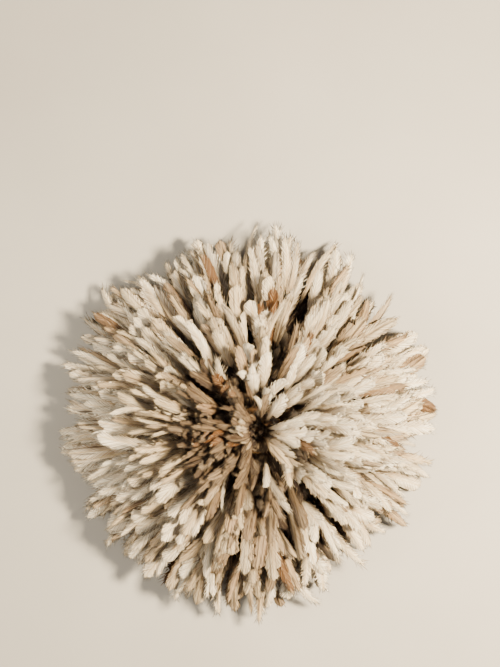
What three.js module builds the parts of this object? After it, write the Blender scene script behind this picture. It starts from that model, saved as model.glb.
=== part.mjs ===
// A feather headdress. A raffia skullcap carries stiff ribs that fan out like those of an umbrella, and rows of
// feathers stand on the cap and lie along the ribs, so that together they make a wide shaggy dome.
// Millimetres, with +Z from the cap's mouth to the crown. The origin is the centre of the mouth, in the plane
// that the headdress rests on.
import * as THREE from "three";

// The dome of feathers
const spreadRadius = 305; // from the axis to the tips of the outer row, on average
const crownHeight = 178; // from the resting plane to the tips of the highest row
const lockWidth = 29; // a lock of feathers, with the space beside it
const lockThickness = 5; // from a lock's underside to its ridge
const lockFill = 0.88; // share of its pitch that a lock covers where it is widest
const fewestLocks = 8;

// The cap
const capInnerRadius = 90; // at the mouth
const capInnerDepth = 84; // from the cap's edge to the inside of its crown
const capWall = 3;
const bindingHeight = 10; // the plaited binding under the cap's edge
const bindingWidth = 13;
const bindingCorner = 2.5;
const roundSegments = 36;
const domeSteps = 8;

// The ribs and the twine that ties them
const ribCount = 24;
const ribLength = 106; // from the foot on the cap to the rib's tip
const ribWidth = 6;
const ribThickness = 3.5;
const ribFootHeight = 14; // how far the rib's end lies along the cap's side
const ribRise = 7; // how much higher the rib's tip lies than its inner end
const twineWidth = 3;
const tieShares = { inner: 0.42, outer: 0.88 }; // where the twine crosses the ribs, as shares of their length

const seatGap = 0.4; // between pieces that rest on each other
const rootWidth = 6; // of a feather row's bound edge, along what it sits on

// How far the feathers reach in twelve directions, as shares of spreadRadius, from +X round by +Y.
const reachByDirection = [0.95, 1.0, 1.02, 1.06, 1.03, 1.09, 1.04, 0.98, 1.0, 0.99, 0.94, 0.92];
// Locks side by side are never the same length.
const lengthBeat = [1.0, 0.95, 1.03, 0.97, 1.05, 0.93];
// Where a lock's sections lie along it, and how wide they are, as shares.
const lockSections = {
  notch: { along: 0.24 },
  widest: { along: 0.62, width: 1 },
  shoulder: { along: 0.87, width: 0.72 },
};

// Each row from the crown to the rim. seat is where it is bound: degrees from the axis on the cap, or a share
// of the rib's length. reach and height are its tips, as shares of spreadRadius and crownHeight. leave is the
// angle above the horizontal, in degrees, at which the feathers leave their seat.
const rows = [
  { on: "cap", seat: 9, reach: 0.1, height: 0.95, leave: 84 },
  { on: "cap", seat: 24, reach: 0.22, height: 1.0, leave: 74 },
  { on: "cap", seat: 39, reach: 0.35, height: 0.98, leave: 66 },
  { on: "cap", seat: 54, reach: 0.48, height: 0.92, leave: 58 },
  { on: "cap", seat: 70, reach: 0.6, height: 0.82, leave: 52 },
  { on: "rib", seat: 0.16, reach: 0.71, height: 0.7, leave: 50 },
  { on: "rib", seat: 0.35, reach: 0.81, height: 0.56, leave: 46 },
  { on: "rib", seat: 0.54, reach: 0.89, height: 0.42, leave: 42 },
  { on: "rib", seat: 0.73, reach: 0.955, height: 0.28, leave: 36 },
  { on: "rib", seat: 0.92, reach: 1.0, height: 0.15, leave: 28 },
];

// Worked out from the sizes above
const capEdgeZ = bindingHeight + seatGap;
const capOuterRadius = capInnerRadius + capWall;
const capOuterDepth = capInnerDepth + capWall;
const footRadius = capOuterRadius + seatGap;
const ribTopZ = capEdgeZ + ribFootHeight;
const ribTipRadius = footRadius + ribLength;

const colours = {
  raffia: 0x8a6238,
  rib: 0xa17a48,
  twine: 0x6e4d2c,
  feather: 0xe4d8c6,
};

function material(colour, roughness) {
  return new THREE.MeshStandardMaterial({ color: colour, roughness, metalness: 0 });
}

function radians(degrees) {
  return (degrees * Math.PI) / 180;
}

// The height of the ribs' upper side at a distance from the axis.
function ribTopAt(radius) {
  return ribTopZ + (ribRise * (radius - footRadius)) / ribLength;
}

// A solid of revolution about Z from its half section.
function turned(section) {
  const geometry = new THREE.LatheGeometry(section, roundSegments);
  geometry.rotateX(Math.PI / 2);
  return geometry;
}

function capGeometry() {
  const section = [];
  for (let i = 0; i <= domeSteps; i++) {
    const angle = (i / domeSteps) * (Math.PI / 2);
    section.push(
      new THREE.Vector2(capOuterRadius * Math.sin(angle), capEdgeZ + capOuterDepth * Math.cos(angle)),
    );
  }
  for (let i = domeSteps; i >= 0; i--) {
    const angle = (i / domeSteps) * (Math.PI / 2);
    section.push(
      new THREE.Vector2(capInnerRadius * Math.sin(angle), capEdgeZ + capInnerDepth * Math.cos(angle)),
    );
  }
  return turned(section.reverse());
}

// A ring whose section is a rectangle with its corners cut.
function ringGeometry(innerRadius, width, lowZ, height, corner) {
  const outerRadius = innerRadius + width;
  const highZ = lowZ + height;
  const section = [
    new THREE.Vector2(innerRadius + corner, lowZ),
    new THREE.Vector2(outerRadius - corner, lowZ),
    new THREE.Vector2(outerRadius, lowZ + corner),
    new THREE.Vector2(outerRadius, highZ - corner),
    new THREE.Vector2(outerRadius - corner, highZ),
    new THREE.Vector2(innerRadius + corner, highZ),
    new THREE.Vector2(innerRadius, highZ - corner),
    new THREE.Vector2(innerRadius, lowZ + corner),
  ];
  section.push(section[0].clone());
  return turned(section);
}

// A rib, seen from the side: its foot stands on the binding, along the cap, and its run goes out and up.
function ribGeometry() {
  const outline = new THREE.Shape([
    new THREE.Vector2(footRadius, capEdgeZ),
    new THREE.Vector2(footRadius + ribThickness, capEdgeZ),
    new THREE.Vector2(footRadius + ribThickness, ribTopAt(footRadius + ribThickness) - ribThickness),
    new THREE.Vector2(ribTipRadius, ribTopAt(ribTipRadius) - ribThickness),
    new THREE.Vector2(ribTipRadius, ribTopAt(ribTipRadius)),
    new THREE.Vector2(footRadius, ribTopAt(footRadius)),
  ]);
  const geometry = new THREE.ExtrudeGeometry(outline, { depth: ribWidth, bevelEnabled: false });
  geometry.translate(0, 0, -ribWidth / 2);
  geometry.rotateX(Math.PI / 2);
  return geometry;
}

// How far the feathers reach in a direction, smoothly between the twelve that are given.
function reachAt(angle) {
  const count = reachByDirection.length;
  const turn = (((angle / (2 * Math.PI)) % 1) + 1) % 1;
  const place = turn * count;
  const low = Math.floor(place) % count;
  const share = place - Math.floor(place);
  const smooth = share * share * (3 - 2 * share);
  return reachByDirection[low] * (1 - smooth) + reachByDirection[(low + 1) % count] * smooth;
}

// The two edges of a row's bound root, in the plane of radius and height, lying on what carries the row.
function rootOf(row) {
  if (row.on === "cap") {
    const angle = radians(row.seat);
    const half = rootWidth / 2 / capOuterRadius;
    const at = (a) =>
      new THREE.Vector2(
        (capOuterRadius + seatGap) * Math.sin(a),
        capEdgeZ + (capOuterDepth + seatGap) * Math.cos(a),
      );
    return { upper: at(angle - half), lower: at(angle + half) };
  }
  const radius = footRadius + row.seat * ribLength;
  const at = (r) => new THREE.Vector2(r, ribTopAt(r) + seatGap);
  return { upper: at(radius - rootWidth / 2), lower: at(radius + rootWidth / 2) };
}

// The line that a lock follows from its root to its tip, bending from the angle at which it leaves.
function lockCurve(row, root, tipRadius) {
  const start = root.upper.clone().add(root.lower).multiplyScalar(0.5);
  const tip = new THREE.Vector2(tipRadius, row.height * crownHeight);
  const reach = start.distanceTo(tip) / 2;
  const leave = radians(row.leave);
  const bend = start.clone().add(new THREE.Vector2(Math.cos(leave), Math.sin(leave)).multiplyScalar(reach));
  return new THREE.QuadraticBezierCurve(start, bend, tip);
}

// A point on a lock: along its line, off it towards the upper side, and beside its middle.
function lockPoint(curve, along, above, angle, beside) {
  const at = curve.getPoint(along);
  const tangent = curve.getTangent(along);
  const radius = at.x - tangent.y * above;
  const height = at.y + tangent.x * above;
  return [
    radius * Math.cos(angle) - beside * Math.sin(angle),
    radius * Math.sin(angle) + beside * Math.cos(angle),
    height,
  ];
}

// A row of locks that grow from one bound ring: every two neighbours share the ring up to the notch between
// them, and beyond it each is a vaulted leaf that narrows to its tip.
function rowGeometry(row, index) {
  const root = rootOf(row);
  const middle = lockCurve(row, root, row.reach * spreadRadius);
  const widestRadius = middle.getPoint(lockSections.widest.along).x;
  const count = Math.max(fewestLocks, Math.round((2 * Math.PI * widestRadius) / lockWidth));
  const pitch = (2 * Math.PI) / count;
  const turn = (index % 2) * (pitch / 2);
  const fullWidth = pitch * widestRadius * lockFill;
  const stretch = 1 / Math.cos(pitch / 2); // the ring's flat sides then clear what it lies round
  const half = lockThickness / 2;
  const curveAt = (angle, beat) => {
    const reach = 1 + (reachAt(angle) - 1) * row.reach;
    return lockCurve(row, root, row.reach * spreadRadius * reach * (1 + (beat - 1) * row.reach));
  };

  const positions = [];
  const faces = [];
  const add = (point) => positions.push(...point) / 3 - 1;
  const face = (...corners) => {
    for (let i = 2; i < corners.length; i++) faces.push(corners[0], corners[i - 1], corners[i]);
  };

  const borders = [];
  for (let j = 0; j < count; j++) {
    const angle = turn + j * pitch;
    const onRing = (edge) => [
      edge.x * stretch * Math.cos(angle),
      edge.x * stretch * Math.sin(angle),
      edge.y,
    ];
    const curve = curveAt(angle, 1);
    const notch = lockSections.notch.along;
    borders.push({
      rootUpper: add(onRing(root.upper)),
      rootLower: add(onRing(root.lower)),
      upper: add(lockPoint(curve, notch, half / 2, angle, 0)),
      lower: add(lockPoint(curve, notch, -half, angle, 0)),
    });
  }

  for (let j = 0; j < count; j++) {
    const right = borders[j];
    const left = borders[(j + 1) % count];
    const angle = turn + (j + 0.5) * pitch;
    const curve = curveAt(angle, lengthBeat[j % lengthBeat.length]);
    const ridge = add(lockPoint(curve, lockSections.notch.along, half, angle, 0));
    const section = ({ along, width }) => ({
      right: add(lockPoint(curve, along, -half, angle, (-fullWidth / 2) * width)),
      left: add(lockPoint(curve, along, -half, angle, (fullWidth / 2) * width)),
      ridge: add(lockPoint(curve, along, half * width, angle, 0)),
    });
    const widest = section(lockSections.widest);
    const shoulder = section(lockSections.shoulder);
    const tip = add(lockPoint(curve, 1, 0, angle, 0));

    face(right.rootUpper, ridge, left.rootUpper);
    face(right.rootUpper, right.upper, ridge);
    face(left.rootUpper, ridge, left.upper);
    face(right.rootLower, left.rootLower, left.lower, right.lower);
    face(right.rootUpper, left.rootUpper, left.rootLower, right.rootLower);
    face(ridge, right.upper, widest.right, widest.ridge);
    face(ridge, widest.ridge, widest.left, left.upper);
    face(right.upper, right.lower, widest.right);
    face(left.upper, widest.left, left.lower);
    face(right.lower, left.lower, widest.left, widest.right);
    face(widest.ridge, widest.right, shoulder.right, shoulder.ridge);
    face(widest.ridge, shoulder.ridge, shoulder.left, widest.left);
    face(widest.right, widest.left, shoulder.left, shoulder.right);
    face(shoulder.ridge, shoulder.right, tip);
    face(shoulder.ridge, tip, shoulder.left);
    face(shoulder.right, shoulder.left, tip);
  }

  const geometry = new THREE.BufferGeometry();
  geometry.setAttribute("position", new THREE.Float32BufferAttribute(positions, 3));
  geometry.setIndex(faces);
  geometry.computeVertexNormals();
  return geometry;
}

const headdress = new THREE.Group();

function addMesh(name, geometry, meshMaterial) {
  const mesh = new THREE.Mesh(geometry, meshMaterial);
  mesh.name = name;
  headdress.add(mesh);
  return mesh;
}

function twoDigits(number) {
  return String(number).padStart(2, "0");
}

function addCap() {
  const raffia = material(colours.raffia, 0.85);
  addMesh("raffia_cap", capGeometry(), raffia);
  const innerRadius = capInnerRadius - bindingCorner;
  addMesh(
    "mouth_binding",
    ringGeometry(innerRadius, bindingWidth, 0, bindingHeight, bindingCorner),
    raffia,
  );
}

function addRibs() {
  const geometry = ribGeometry();
  const wood = material(colours.rib, 0.7);
  for (let i = 0; i < ribCount; i++) {
    const rib = addMesh("rib_" + twoDigits(i + 1), geometry, wood);
    rib.rotation.z = (i * 2 * Math.PI) / ribCount;
  }
}

function addTwine() {
  const twine = material(colours.twine, 0.9);
  const corner = twineWidth / 4;
  // The lashing goes round the feet of the ribs, whose outer corners lie furthest from the axis.
  const footCorner = Math.hypot(footRadius + ribThickness, ribWidth / 2);
  const lashingRadius = (footCorner + seatGap) / Math.cos(Math.PI / roundSegments);
  const lashingZ = capEdgeZ + (ribFootHeight - ribThickness - twineWidth) / 2;
  addMesh("rib_lashing", ringGeometry(lashingRadius, twineWidth, lashingZ, twineWidth, corner), twine);
  for (const [place, share] of Object.entries(tieShares)) {
    const radius = footRadius + share * ribLength;
    const topZ = ribTopAt(radius - twineWidth) - ribThickness - seatGap;
    addMesh(
      "twine_ring_" + place,
      ringGeometry(radius, twineWidth, topZ - twineWidth, twineWidth, corner),
      twine,
    );
  }
}

function addFeathers() {
  const feather = material(colours.feather, 0.8);
  rows.forEach((row, index) => {
    addMesh("feather_row_" + twoDigits(index + 1), rowGeometry(row, index), feather);
  });
}

addCap();
addRibs();
addTwine();
addFeathers();

export default headdress;
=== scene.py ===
import functools
import math
import random

import bmesh
import bpy
import numpy as np
from mathutils import Matrix, Vector


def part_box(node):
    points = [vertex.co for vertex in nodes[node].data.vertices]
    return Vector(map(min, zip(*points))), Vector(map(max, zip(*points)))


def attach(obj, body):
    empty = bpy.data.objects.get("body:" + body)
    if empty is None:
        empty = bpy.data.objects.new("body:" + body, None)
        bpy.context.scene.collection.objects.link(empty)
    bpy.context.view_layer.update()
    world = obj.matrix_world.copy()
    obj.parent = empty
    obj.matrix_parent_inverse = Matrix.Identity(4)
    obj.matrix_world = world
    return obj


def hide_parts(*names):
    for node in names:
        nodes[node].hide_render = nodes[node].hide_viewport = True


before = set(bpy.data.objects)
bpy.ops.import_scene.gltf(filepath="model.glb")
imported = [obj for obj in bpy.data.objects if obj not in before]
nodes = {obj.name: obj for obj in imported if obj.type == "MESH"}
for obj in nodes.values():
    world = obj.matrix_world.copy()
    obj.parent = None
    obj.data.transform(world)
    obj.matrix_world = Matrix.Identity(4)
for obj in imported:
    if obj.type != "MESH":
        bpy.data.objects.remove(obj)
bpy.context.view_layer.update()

# A feather headdress lying cap down and seen from above. Metres, +Z from the cap's mouth to its crown.
# Rings of feathers are bound to a raffia skullcap and along the ribs that fan out from it.

capLow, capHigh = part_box("raffia_cap")
ribLow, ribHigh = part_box("rib_01")
bindingLow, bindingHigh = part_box("mouth_binding")
ribTotal = sum(1 for name in nodes if name.startswith("rib_") and name[4:].isdigit())

# Materials


def linear(hexValue):
    parts = [int(hexValue[i:i + 2], 16) / 255 for i in (1, 3, 5)]
    return tuple(c / 12.92 if c <= 0.04045 else ((c + 0.055) / 1.055) ** 2.4 for c in parts) + (1.0,)


# Gives a node its inputs: a node or socket is linked, a hex colour is made linear, the rest are plain values.
def setInputs(node, inputs):
    for name, value in inputs.items():
        if isinstance(value, bpy.types.Node):
            value = next(socket for socket in value.outputs if socket.enabled)
        if isinstance(value, bpy.types.NodeSocket):
            node.id_data.links.new(value, node.inputs[name])
        else:
            node.inputs[name].default_value = linear(value) if isinstance(value, str) else value


def addNode(tree, kind, settings=None, inputs=None, stops=None):
    node = tree.nodes.new("ShaderNode" + kind)
    for name, value in (settings or {}).items():
        setattr(node, name, value)
    setInputs(node, inputs or {})
    for i, (place, colour) in enumerate(stops or []):
        ramp = node.color_ramp.elements
        stop = ramp[i] if i < 2 else ramp.new(place)
        stop.position = place
        stop.color = linear(colour)
    return node


# Node settings that several materials share.
times = {"operation": "MULTIPLY"}
timesPlus = {"operation": "MULTIPLY_ADD"}
smoothStep = {"interpolation_type": "SMOOTHSTEP"}
colourMix = {"data_type": "RGBA"}
colourTimes = {"data_type": "RGBA", "blend_type": "MULTIPLY"}


def newMaterial(name, shader):
    material = bpy.data.materials.new(name)
    material.use_nodes = True
    material.node_tree.nodes.clear()
    add = functools.partial(addNode, material.node_tree)
    surface = add("BsdfPrincipled", inputs=shader)
    add("OutputMaterial", inputs={"Surface": surface})
    return material, add, surface


# Body feathers washed and sun-dried: matte vanes with a faint glow through them, barbs that cling together in
# strands, paler shafts, brown towards the roots, and here and there a russet or a dark one; the brown at the
# roots and the darker ones are partly painted shade.
def featherVaneMaterial():
    # barbs leave the shaft every 0.4 mm on the bird, and are drawn every 1.5 mm so that they show
    barbLines = 72
    barbSlant = 0.17  # how far forward a barb's end lies, as a share of the feather's length
    clumps = 46.0  # shades of barbs along the vane
    strands = (8.0, 2.6, 1.0)  # shades across and along, for strands two or three millimetres wide
    blotches = 3.2
    featherApart, sideApart = 91.0, 7.3  # so that no two feathers, nor two sides of one, are marked alike
    material, add, surface = newMaterial("sunDriedFeatherVane", {
        "Roughness": 0.68, "IOR": 1.45, "Specular IOR Level": 0.25,
        "Sheen Weight": 0.03, "Sheen Roughness": 0.4,
        "Subsurface Weight": 0.1, "Subsurface Radius": (0.9, 0.7, 0.5), "Subsurface Scale": 0.0018})
    uv = add("UVMap", {"uv_map": "vane"})
    place = add("SeparateXYZ", inputs={0: uv})
    along = place.outputs[1]
    signed = add("Math", timesPlus, {0: place, 1: 2.0, 2: -1.0})
    across = add("Math", {"operation": "ABSOLUTE"}, {0: signed})
    kind = add("Attribute", {"attribute_name": "featherTone"})
    parts = add("SeparateColor", inputs={0: kind})
    tone, russet, dark = parts.outputs[0], parts.outputs[1], parts.outputs[2]

    barb = add("Math", timesPlus, {0: across, 1: -barbSlant, 2: along})
    side = add("Math", {"operation": "SIGN"}, {0: signed})
    ownPlace = add("Math", times, {0: kind.outputs["Alpha"], 1: featherApart})
    sidePlace = add("Math", timesPlus, {0: side, 1: sideApart, 2: ownPlace})
    streakAt = add("Math", timesPlus, {0: barb, 1: clumps, 2: sidePlace})
    streak = add("TexNoise", {"noise_dimensions": "1D"}, {
        "W": streakAt, "Scale": 1.0, "Detail": 3.0, "Roughness": 0.6})
    blotch = add("TexNoise", {"noise_dimensions": "4D"}, {
        "Vector": uv, "W": ownPlace, "Scale": blotches, "Detail": 2.0})
    strandAt = add("VectorMath", times, {0: uv, 1: strands})
    strand = add("TexNoise", {"noise_dimensions": "4D"}, {
        "Vector": strandAt, "W": ownPlace, "Scale": 1.0, "Detail": 3.0, "Roughness": 0.65})

    ground = add("ValToRGB", inputs={0: tone}, stops=[
        (0.0, "#FEF7E6"), (0.55, "#F2E6D0"), (0.76, "#D9C9AF"), (0.88, "#B8A48C"), (0.96, "#93806A"),
        (1.0, "#C4BDB0")])
    # the barbs come apart towards the edges, and brown shadow shows between them
    gapLine = add("MapRange", smoothStep, {"Value": streak, "From Min": 0.56, "From Max": 0.4})
    looseness = add("MapRange", inputs={
        "Value": across, "From Min": 0.05, "From Max": 0.9, "To Min": 0.42, "To Max": 1.0})
    gap = add("Math", times, {0: gapLine, 1: looseness})
    streaked = add("Mix", colourMix, {0: gap, 6: ground, 7: "#836646"})
    # tan creeps up from the root in uneven blotches, and the tip stays ivory: partly the feathers' own tan,
    # partly painted shade where the feathers above overlap them
    rootward = add("Math", timesPlus, {0: along, 1: -0.55, 2: blotch})
    stainAndShade = add("MapRange", smoothStep, {
        "Value": rootward, "From Min": -0.04, "From Max": 0.3, "To Max": 0.56})
    patched = add("Mix", colourMix, {0: stainAndShade, 6: streaked, 7: "#967853"})
    shaftLine = add("MapRange", smoothStep, {
        "Value": across, "From Min": 0.12, "From Max": 0.03, "To Max": 0.5})
    shafted = add("Mix", colourMix, {0: shaftLine, 6: patched, 7: "#CDB184"})

    # russet over the middle of the vane, broken into streaks, with the tip left cream
    tipFade = add("MapRange", smoothStep, {"Value": barb, "From Min": 1.0, "From Max": 0.9})
    broken = add("MapRange", smoothStep, {"Value": streak, "From Min": 0.31, "From Max": 0.46})
    patch = add("Math", times, {0: tipFade, 1: broken})
    russetPatch = add("Math", times, {0: patch, 1: russet})
    reddened = add("Mix", colourMix, {0: russetPatch, 6: shafted, 7: "#583410"})
    # darkened by each feather's dark share: painted shade on the down, and partly painted shade, partly
    # browner feathers, left of and below the pit
    darkenedAndShaded = add("Mix", colourMix, {0: dark, 6: reddened, 7: "#20100A"})
    # darker and paler strands, the dark ones deepest on brown feathers
    strandDepth = add("MapRange", inputs={
        "Value": tone, "From Min": 0.1, "From Max": 0.9, "To Min": 0.2, "To Max": 0.8})
    darkStrand = add("MapRange", smoothStep, {"Value": strand, "From Min": 0.49, "From Max": 0.62})
    darkShare = add("Math", times, {0: darkStrand, 1: strandDepth})
    stranded = add("Mix", colourMix, {0: darkShare, 6: darkenedAndShaded, 7: "#2A190C"})
    paleStrand = add("MapRange", smoothStep, {
        "Value": strand, "From Min": 0.44, "From Max": 0.33, "To Max": 0.6})
    paleShare = add("Math", times, {0: paleStrand, 1: dark})
    worn = add("Mix", colourMix, {0: paleShare, 6: stranded, 7: "#B79F7A"})
    # brown fluff at the root, and painted shade over the lower part of each feather, where the ones above
    # cover it
    rootDownAndShade = add("MapRange", smoothStep, {
        "Value": along, "From Min": 0.44, "From Max": 0.12, "To Max": 0.94})
    rooted = add("Mix", colourMix, {0: rootDownAndShade, 6: worn, 7: "#2E1C0E"})
    # the relief of the barbs, fine lines over uneven clumps
    lines = add("Math", times, {0: barb, 1: barbLines * 2 * math.pi})
    barbWave = add("Math", {"operation": "SINE"}, {0: lines})
    fineRelief = add("Math", times, {0: barbWave, 1: 0.35})
    relief = add("Math", timesPlus, {0: streak, 1: 2.4, 2: fineRelief})
    bump = add("Bump", inputs={"Strength": 0.8, "Distance": 0.0009, "Height": relief})
    setInputs(surface, {"Base Color": rooted, "Normal": bump})
    return material


# Coiled raffia: dry palm fibre wrapped round a core, matte, each stitch a slightly different earth brown.
def coiledRaffiaMaterial():
    stitchLength = 0.0042
    stitchLean = 900.0  # radians of the stitches' wave for each metre of height
    material, add, surface = newMaterial("coiledRaffia", {"Roughness": 0.82, "IOR": 1.45})
    spot = add("TexCoord").outputs["Object"]
    xyz = add("SeparateXYZ", inputs={0: spot})
    angle = add("Math", {"operation": "ARCTAN2"}, {0: xyz.outputs[1], 1: xyz.outputs[0]})
    stitchCount = round(2 * math.pi * capHigh.x / stitchLength)
    turns = add("Math", times, {0: angle, 1: stitchCount})
    leaning = add("Math", timesPlus, {0: xyz.outputs[2], 1: stitchLean, 2: turns})
    stitch = add("Math", {"operation": "SINE"}, {0: leaning})
    fibre = add("TexNoise", inputs={"Vector": spot, "Scale": 420.0, "Detail": 4.0})
    patch = add("TexNoise", inputs={"Vector": spot, "Scale": 38.0, "Detail": 2.0})
    tint = add("ValToRGB", inputs={0: patch}, stops=[(0.3, "#38210F"), (0.72, "#74522E"), (0.5, "#54361C")])
    worn = add("Mix", colourTimes, {0: 0.65, 6: tint, 7: fibre})
    height = add("Math", timesPlus, {0: stitch, 1: 0.5, 2: fibre})
    bump = add("Bump", inputs={"Strength": 0.7, "Distance": 0.0006, "Height": height})
    setInputs(surface, {"Base Color": worn, "Normal": bump})
    return material


# Split palm rib: scraped with a knife, satin, with dark fibres along the grain.
def splitPalmMaterial(turn):
    material, add, surface = newMaterial("splitPalmRib", {"Roughness": 0.55, "IOR": 1.5})
    spot = add("TexCoord").outputs["Object"]
    grain = add("Mapping", inputs={
        "Vector": spot, "Rotation": (0.0, 0.0, -turn), "Scale": (14.0, 620.0, 620.0)})
    fibre = add("TexNoise", inputs={"Vector": grain, "Scale": 1.0, "Detail": 3.0})
    tint = add("ValToRGB", inputs={0: fibre}, stops=[
        (0.35, "#7A5730"), (0.7, "#C09A63"), (0.52, "#A17A48")])
    bump = add("Bump", inputs={"Strength": 0.4, "Distance": 0.0003, "Height": fibre})
    setInputs(surface, {"Base Color": tint, "Normal": bump})
    return material


# Hand-rolled bark twine: two plies, matte and rough with fibres, dark with handling.
def barkTwineMaterial():
    material, add, surface = newMaterial("rolledBarkTwine", {"Roughness": 0.9, "IOR": 1.45})
    spot = add("TexCoord").outputs["Object"]
    fibre = add("TexNoise", inputs={"Vector": spot, "Scale": 900.0, "Detail": 3.0})
    patch = add("TexNoise", inputs={"Vector": spot, "Scale": 60.0})
    tint = add("ValToRGB", inputs={0: patch}, stops=[(0.3, "#4A321C"), (0.7, "#8A6A42")])
    worn = add("Mix", colourTimes, {0: 0.5, 6: tint, 7: fibre})
    bump = add("Bump", inputs={"Strength": 0.6, "Distance": 0.0004, "Height": fibre})
    setInputs(surface, {"Base Color": worn, "Normal": bump})
    return material


# Painted plaster floor: pale, matte, faintly mottled.
def plasterFloorMaterial():
    material, add, surface = newMaterial("paleLimeplaster", {"Roughness": 0.85})
    spot = add("TexCoord").outputs["Object"]
    patch = add("TexNoise", inputs={"Vector": spot, "Scale": 2.5, "Detail": 5.0})
    tint = add("ValToRGB", inputs={0: patch}, stops=[(0.3, "#A19E9A"), (0.7, "#ABA8A4")])
    setInputs(surface, {"Base Color": tint})
    return material


vaneMaterial = featherVaneMaterial()
raffiaMaterial = coiledRaffiaMaterial()
twineMaterial = barkTwineMaterial()
print("materials done")

# Pieces


def addPiece(name, mesh, material, slotName, *replaced):
    mesh.materials.clear()
    mesh.materials.append(material)
    piece = bpy.data.objects.new(name, mesh)
    bpy.context.scene.collection.objects.link(piece)
    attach(piece, "root")
    if replaced:
        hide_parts(*replaced)
    return piece


def meshFrom(bm, name):
    mesh = bpy.data.meshes.new(name)
    bm.to_mesh(mesh)
    bm.free()
    mesh.polygons.foreach_set("use_smooth", [True] * len(mesh.polygons))
    return mesh


# One feather, flat: x is a share of its half width, y a share of its length, z a lift in millimetres.
feather = {
    "halfWidth": 10.0,  # mm, of the feather that the shares are taken from
    "length": 112.0,
    "quill": (0.0, 0.14, 0.23),  # cuts across the bare quill
    "vane": (0.3, 0.985),  # where the vane begins and ends
    "lopsided": 0.12,
    "edgeForward": 0.02,  # how far the vane's edge lies forward of the shaft, and back of it at the tip
    "tipBack": 0.016,
    "teeth": 14,  # steps of the vane's edge
    "tooth": (0.97, 1.11),  # how far a step's end lies out, as a share of the outline, and how far forward
    "toothForward": (0.008, 0.035),
    "nick": (0.8, 0.97),  # how far out the nick behind it lies, or now and then a split
    "split": (0.35, 0.6),
    "splitChance": 0.13,
    "shaftLift": 0.7,
    "bladeLift": 0.22,
    "ripple": 0.7,  # of the vane's edges, and of its blades as a share of that
    "bladeRipple": 0.3,
    "sideBarbs": 11,  # clumps down each side; where they begin, over what stretch, and how far out
    "sideFrom": 0.42,
    "sideRun": 0.5,
    "sideOut": 0.82,
    "sideWidth": (0.5, 1.0),
    "sidePlaced": (0.1, 0.9),  # within its even place, and under 1 the clumps crowd towards the tip
    "sideCrowding": 0.85,
    "tuftBarbs": 10,  # clumps at the tip, those in the middle further on
    "tuftFrom": 0.93,
    "tuftBulge": 0.03,
    "tuftOut": 0.85,
    "tuftOpening": 0.8,
    "tuftTurn": 8,  # degrees
    "tuftWidth": (0.7, 1.3),
    "barbLength": (0.5, 1.4),
    "barbRoot": 2.0,  # mm of a clump inside the vane
    "barbRise": (-0.14, 0.2),
    "barbFlatness": 0.35,
}
# For each kind: its half widths along it as shares, the length and width in millimetres and the opening in
# degrees of its loose clumps of barbs, how many templates it has and how often it comes up. Strips come up
# only where the patches name them, and down only under the ivory feathers.
outlineAt = [0.0, 0.15, 0.3, 0.45, 0.58, 0.7, 0.8, 0.88, 0.95, 1.0]
featherKinds = {
    "broad": {"outline": [0.1, 0.09, 0.36, 0.74, 0.93, 0.98, 0.93, 0.76, 0.46, 0.08],
              "barb": 8.5, "clump": 1.8, "count": 10, "share": 2.6, "spread": (5, 22)},
    "slender": {"outline": [0.1, 0.09, 0.32, 0.6, 0.74, 0.77, 0.7, 0.54, 0.32, 0.05],
                "barb": 9.0, "clump": 1.6, "count": 12, "share": 2.6, "spread": (4, 20)},
    "blunt": {"outline": [0.1, 0.09, 0.32, 0.62, 0.82, 0.92, 0.95, 0.88, 0.64, 0.16],
              "barb": 7.0, "clump": 1.9, "count": 8, "share": 2.0, "spread": (5, 24)},
    "frayed": {"outline": [0.1, 0.09, 0.28, 0.46, 0.56, 0.58, 0.5, 0.36, 0.2, 0.04],
               "barb": 13.0, "clump": 1.9, "count": 10, "share": 1.8, "spread": (8, 36)},
    "strip": {"outline": [0.14, 0.36, 0.6, 0.76, 0.8, 0.74, 0.62, 0.46, 0.26, 0.04],
              "barb": 11.0, "clump": 1.7, "count": 8, "share": 0.0, "spread": (4, 20)},
    "down": {"outline": [0.2, 0.3, 0.6, 0.85, 1.0, 1.0, 0.9, 0.7, 0.4, 0.08],
             "barb": 12.0, "clump": 3.0, "count": 12, "share": 0.0, "spread": (14, 38), "detail": 0.4},
}


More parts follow.
